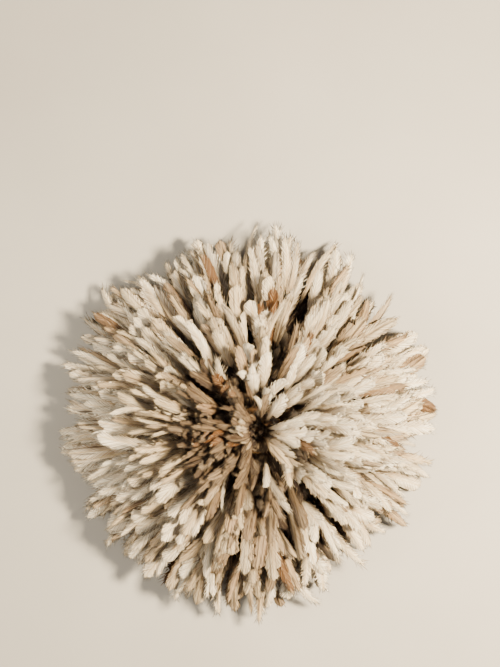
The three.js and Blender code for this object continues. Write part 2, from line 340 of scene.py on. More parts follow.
def makeFeather(kind, seed):
    draw = random.Random(seed)
    spec = featherKinds[kind]
    vaneStart, vaneEnd = feather["vane"]
    teeth, sideBarbs, tuftBarbs = (
        round(feather[name] * spec.get("detail", 1.0)) for name in ("teeth", "sideBarbs", "tuftBarbs"))
    steps = list(feather["quill"])
    vaneRow = len(steps)
    steps += [vaneStart + (vaneEnd - vaneStart) * i / teeth for i in range(teeth + 1)]
    last = len(steps) - 1
    lopsided = draw.uniform(-feather["lopsided"], feather["lopsided"])
    bm = bmesh.new()
    bmesh.ops.create_grid(bm, x_segments=4, y_segments=last, size=0.5)
    for v in bm.verts:
        column = round((v.co.x + 0.5) * 4) - 2
        row = round((v.co.y + 0.5) * last)
        width = float(np.interp(steps[row], outlineAt, spec["outline"])) * (1 + lopsided * column / 2)
        forward = 0.0
        if row >= vaneRow:
            forward = (feather["edgeForward"] if row < last else -feather["tipBack"]) * abs(column) / 2
        height = 0.0
        if abs(column) == 2 and vaneRow < row < last:
            if row % 2:  # the end of a clump of barbs, standing out and pointing forward
                width *= draw.uniform(*feather["tooth"])
                forward += draw.uniform(*feather["toothForward"])
            else:  # the nick behind it, now and then a split
                depth = "split" if draw.random() < feather["splitChance"] else "nick"
                width *= draw.uniform(*feather[depth])
            height = draw.uniform(-1, 1) * feather["ripple"]
        elif column and row > vaneRow:
            height = draw.uniform(-feather["bladeRipple"], feather["bladeRipple"]) * feather["ripple"]
        v.co = Vector((column / 2 * width, steps[row] + forward, height))
    for e in bm.edges:
        e.smooth = not e.is_boundary
    upper = bm.verts[:]
    copied = bmesh.ops.duplicate(bm, geom=bm.verts[:] + bm.edges[:] + bm.faces[:])
    under = [g for g in copied["geom"] if isinstance(g, bmesh.types.BMVert)]
    bmesh.ops.reverse_faces(bm, faces=[g for g in copied["geom"] if isinstance(g, bmesh.types.BMFace)])
    for group, way in ((upper, 1.0), (under, -1.0)):
        for v in group:
            if not v.is_boundary:
                v.co.z += way * (feather["shaftLift"] if abs(v.co.x) < 1e-6 else feather["bladeLift"])
    bmesh.ops.remove_doubles(bm, verts=bm.verts[:], dist=1e-5)

    toShare = Matrix.Diagonal((1 / feather["halfWidth"], 1 / feather["length"], 1.0, 1.0))

    # A flat sliver of barbs that cling together, from inside the vane's edge outwards.
    def addClump(sideShare, along, opening, reach, width):
        aim = Vector((math.sin(opening), math.cos(opening), draw.uniform(*feather["barbRise"]))).normalized()
        edge = float(np.interp(along, outlineAt, spec["outline"])) * feather["halfWidth"]
        base = Vector((sideShare * edge, along * feather["length"] - feather["barbRoot"], 0.0))
        turn = aim.to_track_quat("Z", "X").to_matrix().to_4x4()
        flat = Matrix.Diagonal((feather["barbFlatness"], 1.0, 1.0, 1.0))
        bmesh.ops.create_cone(
            bm, cap_ends=True, segments=3, radius1=width / 2, radius2=0.0, depth=reach,
            matrix=toShare @ Matrix.Translation(base + aim * reach / 2) @ turn @ flat)

    for side in (-1, 1):
        for i in range(sideBarbs):
            share = ((i + draw.uniform(*feather["sidePlaced"])) / sideBarbs) ** feather["sideCrowding"]
            along = feather["sideFrom"] + feather["sideRun"] * share
            opening = side * math.radians(draw.uniform(*spec["spread"]))
            addClump(side * feather["sideOut"], along, opening,
                     spec["barb"] * draw.uniform(*feather["barbLength"]),
                     spec["clump"] * draw.uniform(*feather["sideWidth"]))
    for i in range(tuftBarbs):
        share = (i + 0.5) / tuftBarbs * 2 - 1
        turn = draw.uniform(-feather["tuftTurn"], feather["tuftTurn"])
        opening = math.radians(share * feather["tuftOpening"] * spec["spread"][1] + turn)
        along = feather["tuftFrom"] + feather["tuftBulge"] * (1 - abs(share))
        addClump(share * feather["tuftOut"], along, opening,
                 spec["barb"] * draw.uniform(*feather["barbLength"]),
                 spec["clump"] * draw.uniform(*feather["tuftWidth"]))
    vane = bm.loops.layers.uv.new("vane")
    for face in bm.faces:
        for loop in face.loops:
            loop[vane].uv = (min(1.0, max(0.0, loop.vert.co.x / 2 + 0.5)), min(1.0, loop.vert.co.y))
    bm.verts.layers.float_color.new("featherTone")
    return meshFrom(bm, kind)


# The plumage

plumage = {
    "spread": 0.305,  # from the axis to the tips of the outer row, on average
    "crown": 0.178,  # from the floor to the tips of the highest row
    "seatGap": 0.0004,  # between what a row is bound to and its seat, and how far above that the quills lie
    "rootLift": 0.0016,
    "lowest": 0.003,  # a barb's end stays between these heights
    "highest": 0.189,
    "width": (0.0188, 0.026),  # of the feathers, from the crown's to the rim's
    "ribRise": 0.007,  # a rib's top climbs this much from the cap to its end
    "spacing": (0.6, 0.5),  # between the feathers of a row as a share of their width, inside and at the rim
    "countedAt": 0.93,  # the share of a row's reach at which its feathers have that spacing
    "rowTurn": 0.7,  # radians from one row's first feather to the next row's
    "rimRows": 3,  # over which the rim's looks come in
    "rimFrayed": 4,  # how much more often frayed feathers come there
    "placed": 0.42,  # how far a feather strays from its even place in the row, as a share of the spacing
    "stagger": 0.7,  # how far back towards the row before every second feather of a row stands, at most
    "staggers": (0.3, 1.0),
    "rimStagger": 0.6,  # and how much of that is lost at the rim
    "uneven": 0.07,  # of the feathers' lengths, which are a little shorter than the row's reach
    "shorter": -0.01,
    "crownUneven": 0.5,  # the share of that which holds at the axis; it grows by the row's reach
    "longest": 0.018,  # metres past its row's reach
    "widths": (0.72, 1.3),
    "tipRise": (-0.004, 0.006, 0.003),  # of a tip from its row's height: on average, its spread, at most
    "scatter": 0.0015,  # of the quills about the row's seat
    "twinAway": (0.2, 0.8),  # how far a twin stands from the first, and how much it leans out
    "twinLean": (0.1, 1.0),
    "lean": 1.25,  # how much further the crown's feathers lean out on the right than on the left
    "leanFade": 6,  # how fast that fades towards the rim
    "leftLean": 0.2,  # what is left of it on the left past the first row, so that long strips show there
    "thickRows": 9,  # the rows that lie twice as thick on the left, and below which cosine of the direction
    "thickFrom": -0.1,
    "thickStagger": 0.6,  # how much of the stagger is left there, and how much more uneven the lengths are
    "thickSpread": 0.15,
    "arch": 0.6,  # how far a feather keeps the way it left its seat, as a share of its length
    "wisp": (1.03, 0.6),  # past this share of its length a feather's wisps are drawn in by this much
    "foldEnd": 1.15,  # a barb outside the vane folds down no further than from here
    "showsAt": 0.82,  # how far along a feather the middle of what shows from above lies
}
# Brown down under the ivory tips, which reaches this share of the way to them, and at the bottom of the pit,
# painted dark as shade, so that the gaps between the tips and the pit look dark.
shadeDown = {"spacing": 0.55, "width": 0.019, "widths": (0.8, 1.2), "share": (0.3, 0.6), "raised": 0.008,
             "turned": (-0.1, 0.1), "dark": (0.86, 1.0)}
pitDown = {"count": 28, "seat": 5, "leave": 70, "width": 0.011, "reach": 0.04, "reaches": (0.3, 1.2),
           "height": 0.6, "heights": (0.9, 1.06)}
# How much the feathers differ.
variation = {
    "leave": 4,  # degrees from the row's own
    "drift": 0.016,  # metres sideways at the tip, and less where a tip lies nearer the axis than this
    "driftFrom": 0.05,
    "paleness": 1.6,  # above 1, more pale feathers than brown ones
    "camber": (0.08, 0.5),  # bend across the vane and fold along the shaft, as shares of half the width
    "fold": (0.0, 0.32),
    "roll": 0.22,  # turn about the shaft at the root, and what comes to it by the tip
    "twist": 0.3,
    "curl": (0.001, 0.005),  # of the tip
}
# What each row is bound to and where: degrees from the axis on the cap, or a share of the rib. Then the reach
# and height of its tips, as shares of spread and crown, and how steeply it leaves its seat.
rows = [
    {"on": "cap", "seat": 9, "reach": 0.2, "height": 0.95, "leave": 80},
    {"on": "cap", "seat": 24, "reach": 0.31, "height": 0.985, "leave": 78},
    {"on": "cap", "seat": 39, "reach": 0.42, "height": 0.96, "leave": 75},
    {"on": "cap", "seat": 54, "reach": 0.525, "height": 0.88, "leave": 71},
    {"on": "cap", "seat": 70, "reach": 0.63, "height": 0.77, "leave": 67},
    {"on": "rib", "seat": 0.16, "reach": 0.73, "height": 0.63, "leave": 64},
    {"on": "rib", "seat": 0.35, "reach": 0.82, "height": 0.49, "leave": 57},
    {"on": "rib", "seat": 0.54, "reach": 0.895, "height": 0.36, "leave": 48},
    {"on": "rib", "seat": 0.73, "reach": 0.955, "height": 0.25, "leave": 38},
    {"on": "rib", "seat": 0.92, "reach": 1.0, "height": 0.15, "leave": 27},
]
# How far the feathers reach in twelve directions, as shares of spread, from +X round by +Y.
reachByDirection = [0.95, 1.0, 1.02, 1.06, 1.03, 1.09, 1.04, 0.98, 1.0, 0.99, 0.94, 0.92]

# Where the feathers part and the dark shows: direction in degrees and distance in metres at both ends of the
# parting, and its half width.
partings = [
    (100, 0.014, 122, 0.125, 0.0078), (122, 0.125, 114, 0.235, 0.003), (92, 0.018, 87, 0.068, 0.002),
    (66, 0.05, 65, 0.085, 0.0035), (34, 0.016, 31, 0.078, 0.0075), (6, 0.034, 2, 0.085, 0.0015),
    (-33, 0.022, -22, 0.092, 0.008), (-64, 0.025, -49, 0.165, 0.0078), (-75, 0.11, -63, 0.145, 0.0045),
    (-79, 0.15, -72, 0.205, 0.005), (-61, 0.188, -60, 0.218, 0.004), (-94, 0.03, -88, 0.12, 0.008),
    (261, 0.13, 258, 0.17, 0.005), (243, 0.075, 240, 0.125, 0.006), (215, 0.125, 215, 0.157, 0.004),
    (183, 0.15, 186, 0.205, 0.0065), (157, 0.064, 155, 0.14, 0.0045), (142, 0.06, 143, 0.12, 0.0045),
    (128, 0.15, 126, 0.2, 0.003), (125, 0.225, 127, 0.275, 0.004), (94, 0.13, 96, 0.215, 0.0045),
    (76, 0.115, 72, 0.175, 0.0045), (71, 0.175, 67, 0.21, 0.0035), (38, 0.195, 38, 0.24, 0.0035),
    (-37, 0.262, -37, 0.33, 0.009), (-52, 0.256, -52, 0.33, 0.007), (-62, 0.276, -62, 0.33, 0.006),
    (-8, 0.285, -8, 0.33, 0.006),
]
# Where along a feather it is kept clear of a parting, how far past the parting's ends, and by how much.
clearing = {"testedAt": (0.66, 0.77, 0.88, 1.0), "ends": 0.05, "side": 0.0085}
# Russet feathers: direction in degrees, distance in metres, and how russet.
russetSpots = [
    (87, 0.19, 1.0), (82, 0.205, 0.95), (90, 0.21, 0.8), (54, 0.167, 0.95), (130, 0.1, 1.0),
    (121, 0.07, 0.9), (192, 0.072, 1.0), (170, 0.076, 0.9), (193, 0.131, 0.95), (348, 0.087, 0.9),
    (358, 0.22, 0.9), (300, 0.184, 0.85), (278, 0.257, 0.9), (238, 0.292, 1.0), (141, 0.237, 0.9),
    (108, 0.277, 0.9), (72, 0.289, 0.8), (15, 0.285, 0.85), (146, 0.315, 0.8), (122, 0.259, 0.7),
    (97, 0.144, 0.8), (50, 0.26, 0.5), (20, 0.237, 0.6), (42, 0.148, 0.5), (39, 0.232, 0.5),
    (261, 0.262, 0.5), (215, 0.23, 0.45), (199, 0.245, 0.45), (250, 0.16, 0.35), (322, 0.24, 0.35),
    (182, 0.05, 0.9), (160, 0.1, 0.7), (186, 0.1, 0.95), (176, 0.065, 1.0), (188, 0.06, 1.0),
    (190, 0.085, 1.0), (195, 0.05, 1.0), (128, 0.085, 1.0), (132, 0.115, 0.8),
]
# Feathers that stand out from their neighbours: direction in degrees and distance in metres, a share of the
# width, the tone, and what is added to the tip's height, the drift and the curl.
strays = [
    (131, 0.167, 0.5, 0.0, 0.006, -0.16, 0.012), (52, 0.303, 0.65, 0.0, 0.003, 0.09, 0.004),
    (126, 0.31, 0.7, 0.3, 0.004, 0.2, 0.004), (236, 0.126, 0.6, 0.0, 0.005, 0.24, 0.006),
    (93, 0.325, 0.55, 0.2, 0.0, -0.09, 0.003), (353, 0.03, 0.8, 0.25, 0.0, 0.0, 0.0),
    (278, 0.092, 0.55, 0.3, 0.0, 0.04, 0.0),
]
# Left of the pit and below it the feathers are browner and darker, partly painted shade; right of it paler,
# and paler at the left rim too, there partly painted light; at the rim's upper left some are grey. A patch
# may also change their arch, width, drift and kinds, and how dark the down between them is, as painted shade.
# The first patch that a feather lies in holds.
patches = [
    {"at": (188, 0.022), "within": 0.026, "tone": (0.6, 0.9), "dark": (0.0, 0.3), "arch": 0.7,
     "width": (0.5, 0.8), "kinds": ("strip", "frayed")},
    {"at": (178, 0.062), "within": 0.085, "tone": (0.86, 0.97), "dark": (0.5, 0.85), "arch": 0.72,
     "width": (0.7, 1.1), "kinds": ("strip",), "down": (0.5, 0.75), "drift": 0.5},
    {"at": (140, 0.085), "within": 0.07, "tone": (0.88, 0.97), "dark": (0.5, 0.9), "arch": 0.76,
     "width": (0.7, 1.1), "kinds": ("strip", "slender"), "down": (0.66, 0.9), "drift": 0.6},
    {"at": (232, 0.085), "within": 0.07, "tone": (0.82, 0.97), "dark": (0.36, 0.7), "arch": 0.72,
     "width": (0.7, 1.1), "kinds": ("strip", "slender"), "down": (0.6, 0.9), "drift": 0.6},
    {"at": (182, 0.15), "within": 0.08, "tone": (0.64, 0.9), "dark": (0.0, 0.16), "arch": 0.64,
     "width": (0.75, 1.1), "kinds": ("strip", "slender", "frayed"), "down": (0.0, 0.3), "drift": 0.6},
    {"at": (275, 0.085), "within": 0.075, "tone": (0.45, 0.94), "dark": (0.04, 0.66), "arch": 0.66},
    {"at": (310, 0.075), "within": 0.055, "tone": (0.1, 0.66), "dark": (0.0, 0.1)},
    {"at": (268, 0.2), "within": 0.1, "tone": (0.66, 0.95), "dark": (0.12, 0.5)},
    {"at": (92, 0.2), "within": 0.1, "tone": (0.3, 0.94), "dark": (0.0, 0.36)},
    {"at": (145, 0.2), "within": 0.1, "tone": (0.2, 0.9), "dark": (0.0, 0.3), "down": (0.2, 0.6)},
    {"at": (222, 0.21), "within": 0.11, "tone": (0.2, 0.9), "dark": (0.0, 0.2), "down": (0.1, 0.5)},
    {"at": (52, 0.21), "within": 0.08, "tone": (0.2, 0.9), "dark": (0.0, 0.28)},
    {"at": (58, 0.085), "within": 0.09, "tone": (0.0, 0.4), "dark": (0.0, 0.0)},
    {"at": (0, 0.09), "within": 0.07, "tone": (0.0, 0.4), "dark": (0.0, 0.0)},
    {"at": (185, 0.24), "within": 0.09, "tone": (0.0, 0.4), "dark": (0.0, 0.0), "down": (0.0, 0.3)},
]
patchEdge = (0.6, 1.1)  # a patch reaches this share of its radius, drawn for each feather
greyRim = {"from": 60, "to": 200, "firstRow": 7, "chance": 0.3}


def reachAt(angle):
    place = (angle / (2 * math.pi) % 1.0) * len(reachByDirection)
    low = int(place) % len(reachByDirection)
    share = place - int(place)
    smooth = share * share * (3 - 2 * share)
    high = (low + 1) % len(reachByDirection)
    return between(reachByDirection[low], reachByDirection[high], smooth)


def ribTopAt(share):
    return ribHigh.z - plumage["ribRise"] * (1 - share)


# A row's seat in the plane of radius and height.
def seatOf(row):
    if row["on"] == "cap":
        angle = math.radians(row["seat"])
        radius, depth = capHigh.x, capHigh.z - capLow.z
        outward = Vector((math.sin(angle) / radius, math.cos(angle) / depth)).normalized()
        onCap = Vector((radius * math.sin(angle), capLow.z + depth * math.cos(angle)))
        return onCap + outward * plumage["seatGap"]
    height = ribTopAt(row["seat"]) + plumage["seatGap"]
    return Vector((ribLow.x + row["seat"] * (ribHigh.x - ribLow.x), height))


def tipOf(row):
    return Vector((row["reach"] * plumage["spread"], row["height"] * plumage["crown"]))


def between(a, b, share):
    return a * (1 - share) + b * share


# Moves a feather that lies over the edge of a parting to that side, and leaves out one in its middle.
def parted(angle, tipRadius):
    for angleA, radiusA, angleB, radiusB, half in partings:
        for share in clearing["testedAt"]:
            radius = tipRadius * share
            along = (radius - radiusA) / (radiusB - radiusA)
            if not -clearing["ends"] < along < 1 + clearing["ends"]:
                continue
            middle = math.radians(angleA + (angleB - angleA) * along)
            off = (angle - middle + math.pi) % (2 * math.pi) - math.pi
            if abs(off) < half / radius:
                return None
            clear = (half + clearing["side"]) / radius
            if abs(off) < clear:
                angle = middle + math.copysign(clear, off)
    return angle


# Feathers lean together in bunches, with narrow gaps between, alike in neighbouring rows. Three waves do it:
# how far they push, how many go round, and how much they shift from row to row and at the start.
bunches = [(0.028, 13, 0.5, 0.0), (0.012, 29, 1.1, 0.0), (0.014, 5, 0.0, 2.0)]


def bunched(angle, index):
    return sum(far * math.sin(count * angle + shift * index + start) for far, count, shift, start in bunches)


# A feather's own variation, the same for all; the rest is added by the row that it belongs to.
def ownDraws(draw, angle, tip, width, leave):
    return {
        "angle": angle,
        "tip": tip,
        "width": width,
        "leave": math.radians(leave + draw.gauss(0, variation["leave"])),
        "drift": draw.gauss(0, variation["drift"]) / max(tip.x, variation["driftFrom"]),
        "arch": plumage["arch"],
        "camber": draw.uniform(*variation["camber"]),
        "fold": draw.uniform(*variation["fold"]),
        "roll": draw.gauss(0, variation["roll"]),
        "twist": draw.gauss(0, variation["twist"]),
        "curl": draw.gauss(*variation["curl"]),
        "tone": draw.random() ** variation["paleness"],
        "russet": 0.0,
        "dark": 0.0,
        "seed": draw.random(),
        "down": False,
    }


# One ivory feather of a row, or nothing where the feathers part. A twin is the second of two in one place.
def planFeather(draw, index, place, angle, total, width, twin, doubled, atRim):
    row, before = rows[index], rows[max(index - 1, 0)]
    back = (place + twin) % 2 * plumage["stagger"] * draw.uniform(*plumage["staggers"])
    back *= 1 - plumage["rimStagger"] * atRim
    back *= plumage["thickStagger"] if doubled else 1.0
    tip = between(tipOf(row), tipOf(before), back)
    reach = between(row["reach"], before["reach"], back)
    leave = between(row["leave"], before["leave"], back)
    turned = angle + twin * draw.uniform(*plumage["twinAway"]) * 2 * math.pi / total
    uneven = plumage["uneven"] + plumage["thickSpread"] * doubled
    stretch = 1 + draw.gauss(plumage["shorter"], uneven) * (plumage["crownUneven"] + reach)
    stretch = min(stretch, 1.0 + plumage["longest"] / tip.x)
    out = 1 + (reachAt(turned) - 1) * reach
    lean = plumage["lean"] * math.cos(turned) * (1 - reach) ** plumage["leanFade"]
    if lean < 0 and index:
        lean *= plumage["leftLean"]
    elif twin:
        lean *= draw.uniform(*plumage["twinLean"])
    out *= 1 + lean
    usual, spread, most = plumage["tipRise"]
    reached = Vector((tip.x * out * stretch, tip.y + min(most, draw.gauss(usual, spread))))
    turned = parted(turned, reached.x)
    if turned is None:
        return None
    plan = ownDraws(draw, turned, reached, width * draw.uniform(*plumage["widths"]), leave)
    plan["row"] = index
    scatter = plumage["scatter"]
    plan["seat"] = seatOf(row) + Vector((draw.uniform(-scatter, scatter), draw.uniform(0, scatter)))
    return plan


def planFeathers():
    draw = random.Random(2024)
    plans = []
    for index, row in enumerate(rows):
        atRim = max(0.0, index + 1 - len(rows) + plumage["rimRows"]) / plumage["rimRows"]
        width = between(*plumage["width"], row["reach"])
        spacing = between(*plumage["spacing"], atRim)
        total = round(2 * math.pi * tipOf(row).x * plumage["countedAt"] / (width * spacing))
        weights = [share * (1 + plumage["rimFrayed"] * atRim * (name == "frayed"))
                   for share, name in zip(featherShares, featherNames)]
        for i in range(total):
            place = i + draw.uniform(-plumage["placed"], plumage["placed"])
            angle = place * 2 * math.pi / total + index * plumage["rowTurn"]
            angle += bunched(angle, index)
            doubled = index < plumage["thickRows"] and math.cos(angle) < plumage["thickFrom"]
            for twin in range(1 + doubled):
                plan = planFeather(draw, index, i, angle, total, width, twin, doubled, atRim)
                if plan:
                    plan["kind"] = draw.choices(range(len(featherMeshes)), weights)[0]
                    plans.append(plan)
        plans += planShadeDown(draw, index, row)
    return plans


def templatesOf(*kinds):
    return [i for i, name in enumerate(featherNames) if name in kinds]


# Short brown feathers along a row's seat, painted dark as shade, so that what shows between the ivory tips is
# dark and soft.
def planShadeDown(draw, index, row):
    seat = seatOf(row)
    circle = between(seat, tipOf(row), 0.5).x
    spots = []
    for i in range(round(2 * math.pi * circle / (shadeDown["width"] * shadeDown["spacing"]))):
        tip = between(seat, tipOf(row), draw.uniform(*shadeDown["share"]))
        tip += Vector((0.0, draw.uniform(0, shadeDown["raised"])))
        spots.append((seat, tip, shadeDown["width"] * draw.uniform(*shadeDown["widths"]), row["leave"]))
    if index == 0:
        pit = seatOf(dict(row, seat=pitDown["seat"]))
        for i in range(pitDown["count"]):
            tip = Vector((pitDown["reach"] * plumage["spread"] * draw.uniform(*pitDown["reaches"]),
                          pitDown["height"] * plumage["crown"] * draw.uniform(*pitDown["heights"])))
            spots.append((pit, tip, pitDown["width"], pitDown["leave"]))
    goldenAngle = 2.399963  # spreads them evenly
    made = []
    for i, (start, tip, width, leave) in enumerate(spots):
        angle = i * goldenAngle + draw.uniform(*shadeDown["turned"])
        plan = ownDraws(draw, angle, tip, width, leave)
        plan["row"] = index
        plan["seat"] = start
        plan["kind"] = draw.choice(templatesOf("down"))
        # painted shade: the down is given a dark brown
        plan["dark"] = draw.uniform(*shadeDown["dark"])
        plan["down"] = True
        made.append(plan)
    return made


def pointAt(degrees, distance):
    return Vector((math.cos(math.radians(degrees)), math.sin(math.radians(degrees)))) * distance


# The middle of the part of a feather that shows from above.
def outerPoint(plan):
    return pointAt(math.degrees(plan["angle"]), between(plan["seat"].x, plan["tip"].x, plumage["showsAt"]))


# Finds the ivory feather whose outer part lies nearest to a spot.
def nearestTo(plans, degrees, distance):
    ivory = [plan for plan in plans if not plan["down"] and not plan["russet"]]
    return min(ivory, key=lambda plan: (outerPoint(plan) - pointAt(degrees, distance)).length)


russetLie = {"tone": (0.7, 0.9), "raised": 0.004, "roll": 0.4}  # russet feathers lie on top, and flatter


# Changes the feathers of each patch, then the grey, the russet and the stray ones.
def chartFeathers(plans):
    draw = random.Random(31)
    for plan in plans:
        for patch in patches:
            away = outerPoint(plan) - pointAt(*patch["at"])
            if away.length > patch["within"] * draw.uniform(*patchEdge):
                continue
            # a patch's tone and darkness are partly painted shade and painted light
            plan["tone"] = draw.uniform(*patch["tone"])
            plan["arch"] = patch.get("arch", plan["arch"])
            if plan["down"]:
                plan["dark"] = draw.uniform(*patch["down"]) if "down" in patch else plan["dark"]
                break
            plan["dark"] = draw.uniform(*patch["dark"])
            plan["width"] *= draw.uniform(*patch.get("width", (1.0, 1.0)))
            plan["drift"] *= patch.get("drift", 1.0)
            if "kinds" in patch:
                plan["kind"] = draw.choice(templatesOf(*patch["kinds"]))
            break
        degrees = math.degrees(plan["angle"]) % 360
        atEdge = plan["row"] >= greyRim["firstRow"] and greyRim["from"] < degrees < greyRim["to"]
        if atEdge and draw.random() < greyRim["chance"]:
            plan["tone"] = 1.0
    for degrees, distance, amount in russetSpots:
        plan = nearestTo(plans, degrees, distance)
        plan["russet"] = amount
        plan["dark"] = 0.0
        plan["tone"] = draw.uniform(*russetLie["tone"])
        plan["tip"].y = min(plan["tip"].y + russetLie["raised"], plumage["crown"])
        plan["roll"] *= russetLie["roll"]
    for degrees, distance, width, tone, lift, drift, curl in strays:
        plan = nearestTo(plans, degrees, distance)
        plan["width"] *= width
        plan["tone"] = tone
        plan["tip"].y = min(plan["tip"].y + lift, plumage["crown"])
        plan["drift"] += drift
        plan["curl"] += curl


# Bends a flat feather along its line from the seat to the tip.
def bentFeather(points, plan):
    share, along, lift = points.T.astype(np.float64)
    wispStart, wispPull = plumage["wisp"]
    t = np.minimum(along, wispStart + (along - wispStart) * wispPull)
    seat, tip = plan["seat"], plan["tip"]
    toBend = (tip - seat).length * plan["arch"]
    bend = seat + Vector((math.cos(plan["leave"]), math.sin(plan["leave"]))) * toBend
    weights = ((1 - t) ** 2, 2 * (1 - t) * t, t * t)
    radius = weights[0] * seat.x + weights[1] * bend.x + weights[2] * tip.x
    height = weights[0] * seat.y + weights[1] * bend.y + weights[2] * tip.y
    slopeR = 2 * (1 - t) * (bend.x - seat.x) + 2 * t * (tip.x - bend.x)
    slopeZ = 2 * (1 - t) * (bend.y - seat.y) + 2 * t * (tip.y - bend.y)
    angle = plan["angle"] + plan["drift"] * t * t
    slopeA = 2 * plan["drift"] * t
    length = np.hypot(slopeR, slopeZ)
    outward = np.stack((np.cos(angle), np.sin(angle), np.zeros_like(t)), 1)
    sideways = np.stack((-np.sin(angle), np.cos(angle), np.zeros_like(t)), 1)
    upward = np.array((0.0, 0.0, 1.0))
    normal = (outward * -slopeZ[:, None] + upward * slopeR[:, None]) / length[:, None]
    tangent = outward * slopeR[:, None] + sideways * (radius * slopeA)[:, None] + upward * slopeZ[:, None]
    tangent /= np.linalg.norm(tangent, axis=1)[:, None]
    side = np.cross(tangent, normal)
    side /= np.linalg.norm(side, axis=1)[:, None]
    roll = plan["roll"] + plan["twist"] * t
    turnedSide = side * np.cos(roll)[:, None] + normal * np.sin(roll)[:, None]
    turnedUp = normal * np.cos(roll)[:, None] - side * np.sin(roll)[:, None]
    half = plan["width"] / 2
    offShaft = np.minimum(np.abs(share), plumage["foldEnd"])
    above = lift / 1000 - half * (plan["camber"] * offShaft ** 2 + plan["fold"] * offShaft)
    place = outward * radius[:, None] + upward * (height + plumage["rootLift"])[:, None]
    place += normal * (plan["curl"] * t ** 3)[:, None]
    place += turnedSide * (share * half)[:, None] + turnedUp * above[:, None]
    place[:, 2] = np.clip(place[:, 2], plumage["lowest"], plumage["highest"])
    return place


# One mesh of feathers: each template is bent into place, given its tone and added to the others.
def joinedFeathers(name, plans):
    bm = bmesh.new()
    for plan in plans:
        template, points = featherMeshes[plan["kind"]], featherPoints[plan["kind"]]
        tone = (plan["tone"], plan["russet"], plan["dark"], plan["seed"])
        template.vertices.foreach_set("co", bentFeather(points, plan).astype(np.float32).ravel())
        toneData = template.attributes["featherTone"].data
        toneData.foreach_set("color", np.tile(tone, len(points)).astype(np.float32))
        bm.from_mesh(template, face_normals=False, vertex_normals=False)
    return meshFrom(bm, name)


featherMeshes, featherPoints, featherShares, featherNames = [], [], [], []
for kindIndex, (kindName, spec) in enumerate(featherKinds.items()):
    for copy in range(spec["count"]):
        template = makeFeather(kindName, 100 * kindIndex + copy)
        points = np.empty(len(template.vertices) * 3, np.float32)
        template.vertices.foreach_get("co", points)
        featherMeshes.append(template)
        featherPoints.append(points.reshape(-1, 3))
        featherShares.append(spec["share"] / spec["count"])
        featherNames.append(kindName)

plans = planFeathers()
chartFeathers(plans)
triangles = 0
for index in range(len(rows)):
    inRow = [plan for plan in plans if plan["row"] == index]
    number = f"{index + 1:02d}"
    plumeMesh = joinedFeathers("plume_row_" + number, inRow)
    addPiece("plume_row_" + number, plumeMesh, vaneMaterial, "feather", "feather_row_" + number)
    print("row", number, "has", len(inRow), "feathers,", len(plumeMesh.polygons), "faces")
    triangles += len(plumeMesh.loops) - 2 * len(plumeMesh.polygons)
for template in featherMeshes:
    bpy.data.meshes.remove(template)
print("plumage done:", len(plans), "feathers,", triangles, "triangles")

# The cap

coil = {"pitch": 0.0055, "ridge": 0.0009, "wall": 0.003, "turns": 72}


# The coiled cap: a scalloped half section, spun round the axis.
def addCap():
    radius, depth = capHigh.x - coil["ridge"] / 2, capHigh.z - capLow.z - coil["ridge"] / 2
    arc = (radius + depth) / 2 * math.pi / 2
    coils = round(arc / coil["pitch"])
    perCoil = 4
    section = []
    for wall, way in ((0.0, 1), (coil["wall"] - coil["ridge"], -1)):
        stretch = range(coils * perCoil + 1) if way > 0 else range(coils * perCoil, -1, -1)
        for i in stretch:
            angle = i / (coils * perCoil) * math.pi / 2
            bulge = abs(math.sin(i / perCoil * math.pi)) * coil["ridge"] * way
            section.append(((radius - wall + bulge / 2) * math.sin(angle),
                            capLow.z + (depth - wall + bulge / 2) * math.cos(angle)))
    bm = bmesh.new()
    points = [bm.verts.new((x, 0.0, z)) for x, z in section]
    for a, b in zip(points, points[1:]):
        bm.edges.new((a, b))
    bmesh.ops.spin(bm, geom=bm.verts[:] + bm.edges[:], axis=(0, 0, 1), cent=(0, 0, 0), angle=2 * math.pi,
                   steps=coil["turns"], use_merge=True)
    bmesh.ops.remove_doubles(bm, verts=bm.verts[:], dist=1e-6)
    bmesh.ops.recalc_face_normals(bm, faces=bm.faces[:])
    addPiece("coiled_cap", meshFrom(bm, "coiled_cap"), raffiaMaterial, "raffia", "raffia_cap")


# Round cords along the given paths, as one mesh.
def cordsMesh(name, paths, thickness, sides=2, closed=True):
    curve = bpy.data.curves.new(name, "CURVE")
    curve.dimensions = "3D"
    curve.bevel_depth = thickness / 2
    curve.bevel_resolution = sides
    curve.use_fill_caps = not closed
    for path in paths:
        spline = curve.splines.new("POLY")
        spline.points.add(len(path) - 1)
        spline.points.foreach_set("co", np.column_stack((path, np.ones(len(path)))).ravel())
        spline.use_cyclic_u = closed
    holder = bpy.data.objects.new(name, curve)
    bpy.context.scene.collection.objects.link(holder)
    bpy.context.view_layer.update()
    mesh = bpy.data.meshes.new_from_object(holder.evaluated_get(bpy.context.evaluated_depsgraph_get()))
    bpy.data.objects.remove(holder)
    bpy.data.curves.remove(curve)
    mesh.name = name
    mesh.polygons.foreach_set("use_smooth", [True] * len(mesh.polygons))
    return mesh


# A ring of a few strands that wind or plait round one another.
def ringPaths(radius, height, strands, swing, turns, steps, plait=False):
    paths = []
    for strand in range(strands):
        around = np.arange(steps) / steps * 2 * math.pi
        phase = around * turns + strand * 2 * math.pi / strands
        outward = radius + swing[0] * np.cos(phase)
        upward = height + swing[1] * np.sin(phase * (2 if plait else 1))
        paths.append(np.stack((outward * np.cos(around), outward * np.sin(around), upward), 1))
    return paths


def joinMeshes(name, meshes):
    bm = bmesh.new()
    for mesh in meshes:
        bm.from_mesh(mesh)
        bpy.data.meshes.remove(mesh)
    return meshFrom(bm, name)


binding = {
    "strands": 3,
    "thickness": 0.0056,
    "core": 0.9,  # as a share of the thickness
    "plaits": 26,
    "steps": 416,
    "tuck": 0.0055,  # how far in from the cap's outside it reaches
}


